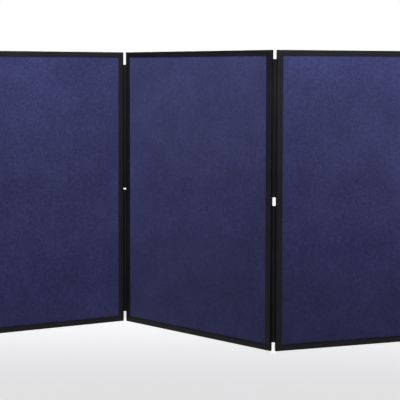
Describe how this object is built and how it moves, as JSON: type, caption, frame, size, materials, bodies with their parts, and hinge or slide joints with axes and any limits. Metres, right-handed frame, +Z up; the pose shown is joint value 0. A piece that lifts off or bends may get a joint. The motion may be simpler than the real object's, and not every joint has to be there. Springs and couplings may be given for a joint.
{
  "type": "partition wall",
  "caption": "Free-standing folding partition of fabric-faced boards in slim black plastic frames, joined edge to edge by slide-in flexible hinge strips and set up in a zigzag.",
  "frame": {"origin": "on the floor, under the centre of the standing wall's overall box", "axes": "+X along the general run of the wall to the right, +Y to the back, +Z up"},
  "size_m": [1.6048, 0.4004, 0.9],
  "materials": {
    "frame_plastic": "satin black, fine grained extrusion",
    "hinge_strip": "satin black flexible plastic",
    "fabric_face": "navy blue needled loop fabric",
    "core": "brown honeycomb board",
    "brace_steel": "zinc plated steel strip"
  },
  "bodies": {
    "middle_board": {"middle_top_rail": "frame_plastic", "middle_bottom_rail": "frame_plastic", "middle_left_stile": "frame_plastic", "middle_right_stile": "frame_plastic", "middle_core_board": "core", "middle_front_fabric": "fabric_face", "middle_back_fabric": "fabric_face", "middle_corner_braces": "brace_steel", "left_upper_strip_inner_bead": "hinge_strip", "left_lower_strip_inner_bead": "hinge_strip", "right_upper_strip_inner_bead": "hinge_strip", "right_lower_strip_inner_bead": "hinge_strip"},
    "left_link": {"left_upper_strip_web": "hinge_strip", "left_lower_strip_web": "hinge_strip"},
    "left_board": {"left_top_rail": "frame_plastic", "left_bottom_rail": "frame_plastic", "left_outer_stile": "frame_plastic", "left_inner_stile": "frame_plastic", "left_core_board": "core", "left_front_fabric": "fabric_face", "left_back_fabric": "fabric_face", "left_corner_braces": "brace_steel", "left_upper_strip_outer_bead": "hinge_strip", "left_lower_strip_outer_bead": "hinge_strip"},
    "right_link": {"right_upper_strip_web": "hinge_strip", "right_lower_strip_web": "hinge_strip"},
    "right_board": {"right_top_rail": "frame_plastic", "right_bottom_rail": "frame_plastic", "right_inner_stile": "frame_plastic", "right_outer_stile": "frame_plastic", "right_core_board": "core", "right_front_fabric": "fabric_face", "right_back_fabric": "fabric_face", "right_corner_braces": "brace_steel", "right_upper_strip_outer_bead": "hinge_strip", "right_lower_strip_outer_bead": "hinge_strip"}
  },
  "joints": [
    {"name": "left_fold", "type": "hinge", "parent": "middle_board", "child": "left_link", "pos_m": [-0.24523, 0.19396, 0.45], "axis": [0, 0, 1], "range_deg": [-77.7, 57.3]},
    {"name": "left_fold_outer", "type": "hinge", "parent": "left_link", "child": "left_board", "pos_m": [-0.25763, 0.19555, 0.45], "axis": [0, 0, 1], "range_deg": [-77.7, 57.3]},
    {"name": "right_fold", "type": "hinge", "parent": "middle_board", "child": "right_link", "pos_m": [0.21547, -0.19261, 0.45], "axis": [0, 0, 1], "range_deg": [-73.7, 61.3]},
    {"name": "right_fold_outer", "type": "hinge", "parent": "right_link", "child": "right_board", "pos_m": [0.22773, -0.19506, 0.45], "axis": [0, 0, 1], "range_deg": [-73.7, 61.3]}
  ],
  "couplings": [
    {"joint": "left_fold_outer", "follows": "left_fold", "ratio": 1},
    {"joint": "right_fold_outer", "follows": "right_fold", "ratio": 1}
  ]
}
